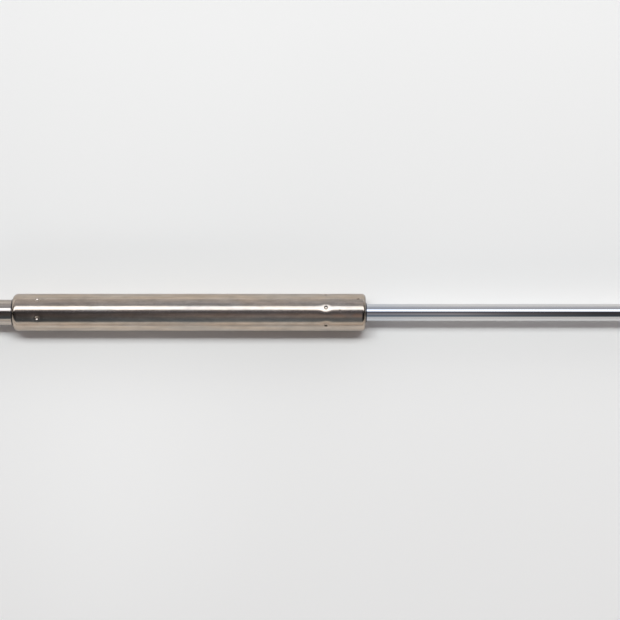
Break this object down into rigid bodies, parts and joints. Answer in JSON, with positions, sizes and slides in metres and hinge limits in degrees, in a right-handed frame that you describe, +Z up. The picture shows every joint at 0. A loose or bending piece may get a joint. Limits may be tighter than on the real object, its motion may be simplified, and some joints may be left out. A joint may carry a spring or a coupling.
{
  "type": "telescopic hydraulic cylinder",
  "caption": "Slim telescopic cylinder: a rolled-end steel barrel slides on a hollow stage tube fixed to a base eye, and a chromed rod with an eye slides out of its other end.",
  "frame": {"origin": "centre of the base eye's bore", "axes": "+X along the cylinder from the base eye to the rod eye, +Y along the eye pins, +Z up, the way the port faces"},
  "size_m": [0.52, 0.0244, 0.025],
  "materials": {
    "barrel_steel": "drawn stainless tube, bright, with fine lengthwise draw lines",
    "stage_steel": "ground stainless tube",
    "rod_chrome": "ground and polished hard chrome",
    "fitting_steel": "turned and milled stainless steel",
    "fastener_steel": "plain machined steel",
    "black_steel": "black oxide steel",
    "bearing_bronze": "plain machined bronze",
    "copper": "annealed copper",
    "gland_aluminium": "turned aluminium, uncoated",
    "seal_rubber": "black nitrile rubber",
    "seal_polyurethane": "green polyurethane",
    "guide_resin": "fabric-filled guide strip"
  },
  "bodies": {
    "base": {"base_head": "fitting_steel", "base_eye_bush": "bearing_bronze", "bleed_screw": "fastener_steel", "bleed_washer": "copper", "stage_tube": "stage_steel", "stage_tube_o_ring": "seal_rubber", "stage_tube_set_screw": "black_steel", "stage_stop_sleeve": "stage_steel", "stage_piston": "bearing_bronze", "stage_snap_ring": "black_steel"},
    "stage_guide": {"stage_wear_ring": "guide_resin"},
    "barrel": {"barrel_tube": "barrel_steel", "stage_wiper": "seal_rubber", "stage_guide_bush": "bearing_bronze", "stage_seal": "seal_polyurethane", "stage_support_ring": "fastener_steel", "rod_gland": "gland_aluminium", "rod_gland_o_ring": "seal_rubber", "rod_wiper": "seal_rubber", "rod_guide_bush": "bearing_bronze", "rod_seal": "seal_polyurethane", "rod_backup_ring": "guide_resin"},
    "rod_guide": {"rod_wear_ring": "guide_resin"},
    "rod": {"piston_rod": "rod_chrome", "rod_stop_tube": "fastener_steel", "rod_piston": "bearing_bronze", "rod_piston_washer": "fastener_steel", "rod_piston_nut": "fastener_steel", "rod_lock_nut": "fastener_steel", "rod_eye": "fitting_steel", "rod_eye_bush": "bearing_bronze"}
  },
  "joints": [
    {"name": "barrel_turn", "type": "hinge", "parent": "base", "child": "stage_guide", "pos_m": [0.0772, 0, 0], "axis": [1, 0, 0], "continuous": true},
    {"name": "barrel_slide", "type": "slide", "parent": "stage_guide", "child": "barrel", "axis": [1, 0, 0], "range_m": [-0.034, 0.108]},
    {"name": "rod_slide", "type": "slide", "parent": "barrel", "child": "rod_guide", "axis": [1, 0, 0], "range_m": [-0.162, 0.006]},
    {"name": "rod_turn", "type": "hinge", "parent": "rod_guide", "child": "rod", "pos_m": [0.284, 0, 0], "axis": [1, 0, 0], "continuous": true}
  ]
}
